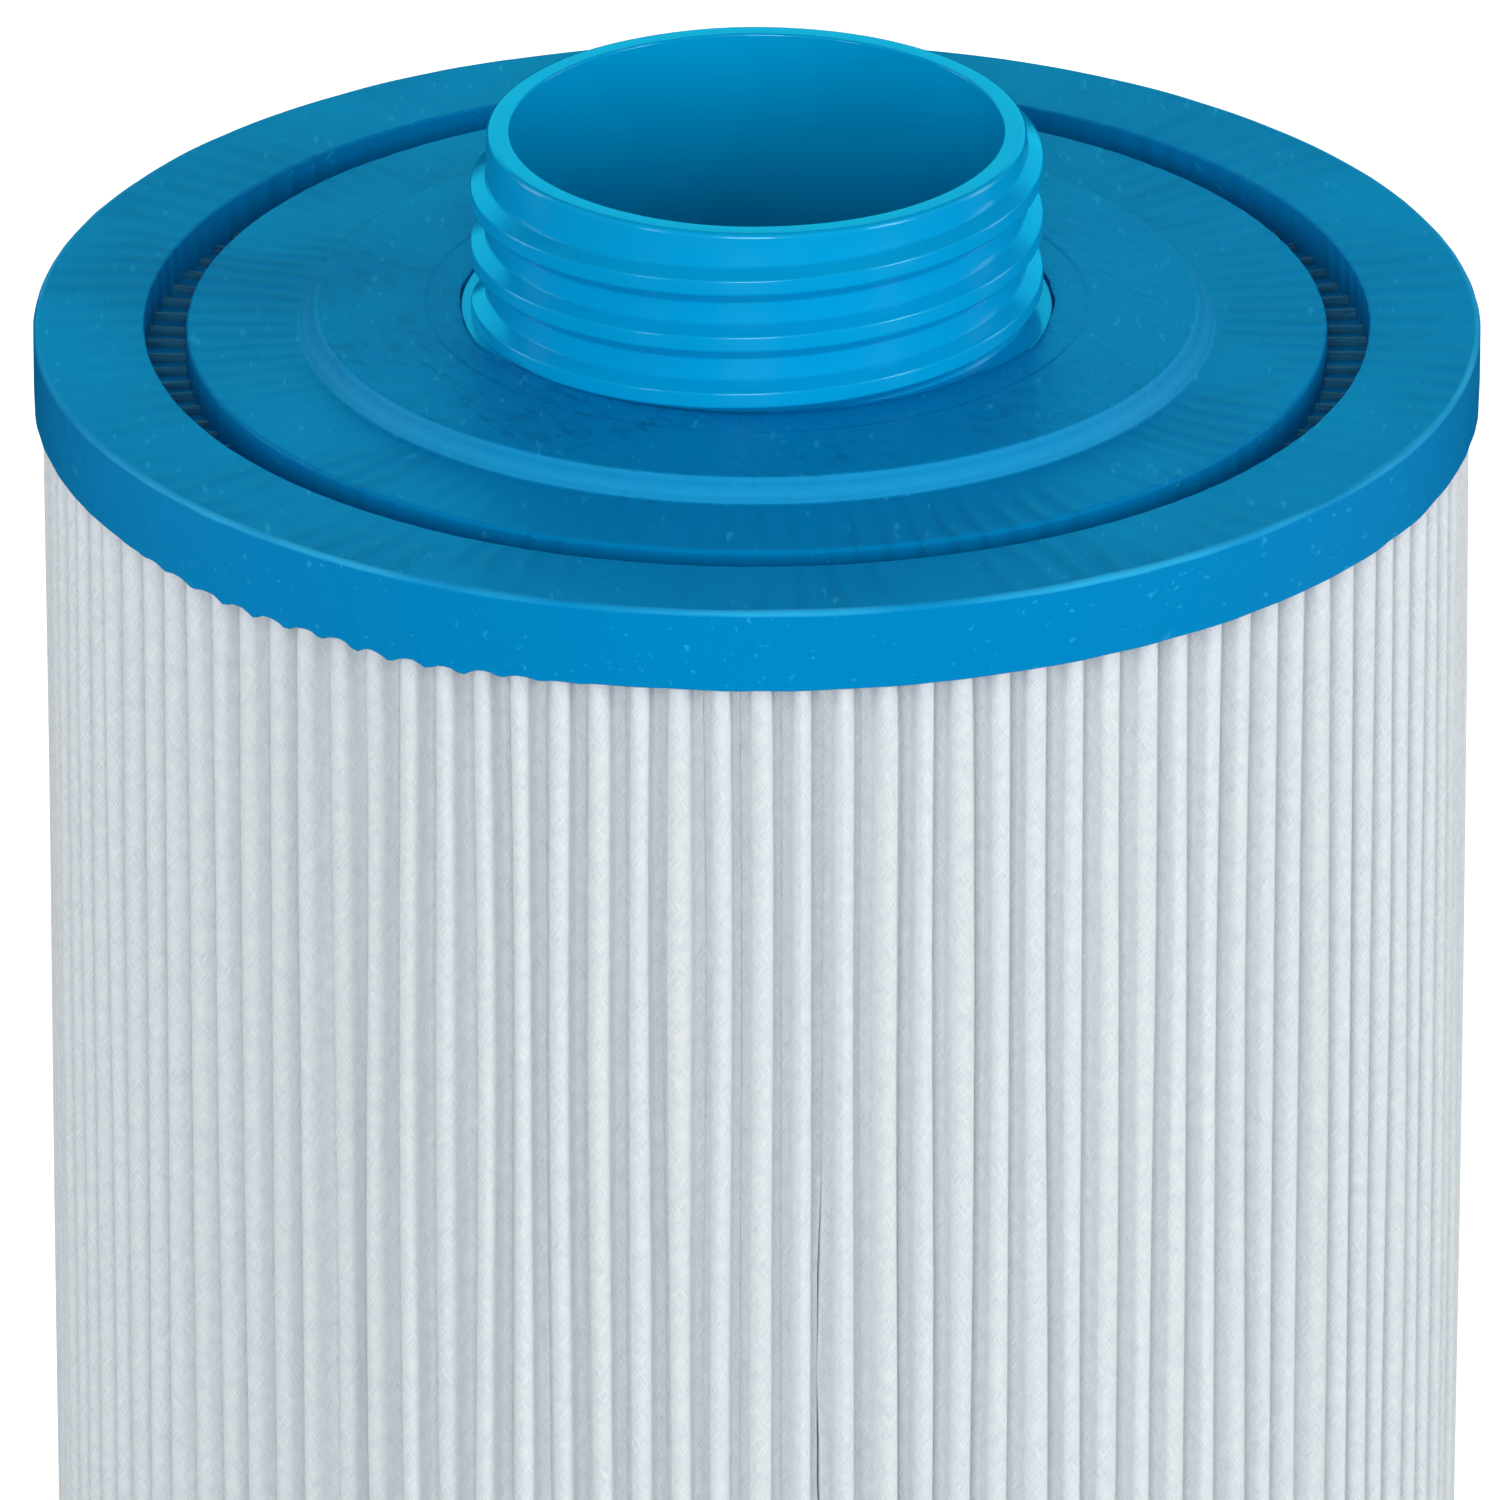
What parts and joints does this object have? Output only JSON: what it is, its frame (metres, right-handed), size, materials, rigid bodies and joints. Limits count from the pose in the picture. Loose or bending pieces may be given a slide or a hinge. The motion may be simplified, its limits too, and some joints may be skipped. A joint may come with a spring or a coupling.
{
  "type": "pleated filter cartridge",
  "caption": "Screw-in spa filter cartridge: pleated white sheet round a perforated core, cast blue end caps, threaded outlet collar on one end and a recessed hand grip in the other.",
  "frame": {"origin": "centre of the closed end's outer face, which the cartridge stands on", "axes": "+Z along the cartridge's axis, out through the threaded collar; -Y towards the side with the sheet's seam"},
  "size_m": [0.1524, 0.1524, 0.2248],
  "materials": {
    "collar": "glossy moulded ABS",
    "end_cap": "satin cast polyurethane",
    "core": "satin moulded polypropylene",
    "media": "spun-bonded polyester sheet",
    "adhesive": "hot-melt adhesive"
  },
  "bodies": {
    "root": {"threaded_collar": "collar", "threaded_end_cap": "end_cap", "closed_end_cap": "end_cap", "grip_insert": "collar", "core_section_lower": "core", "core_section_middle": "core", "core_section_upper": "core", "pleated_media": "media", "seam_bead": "adhesive"}
  },
  "joints": []
}
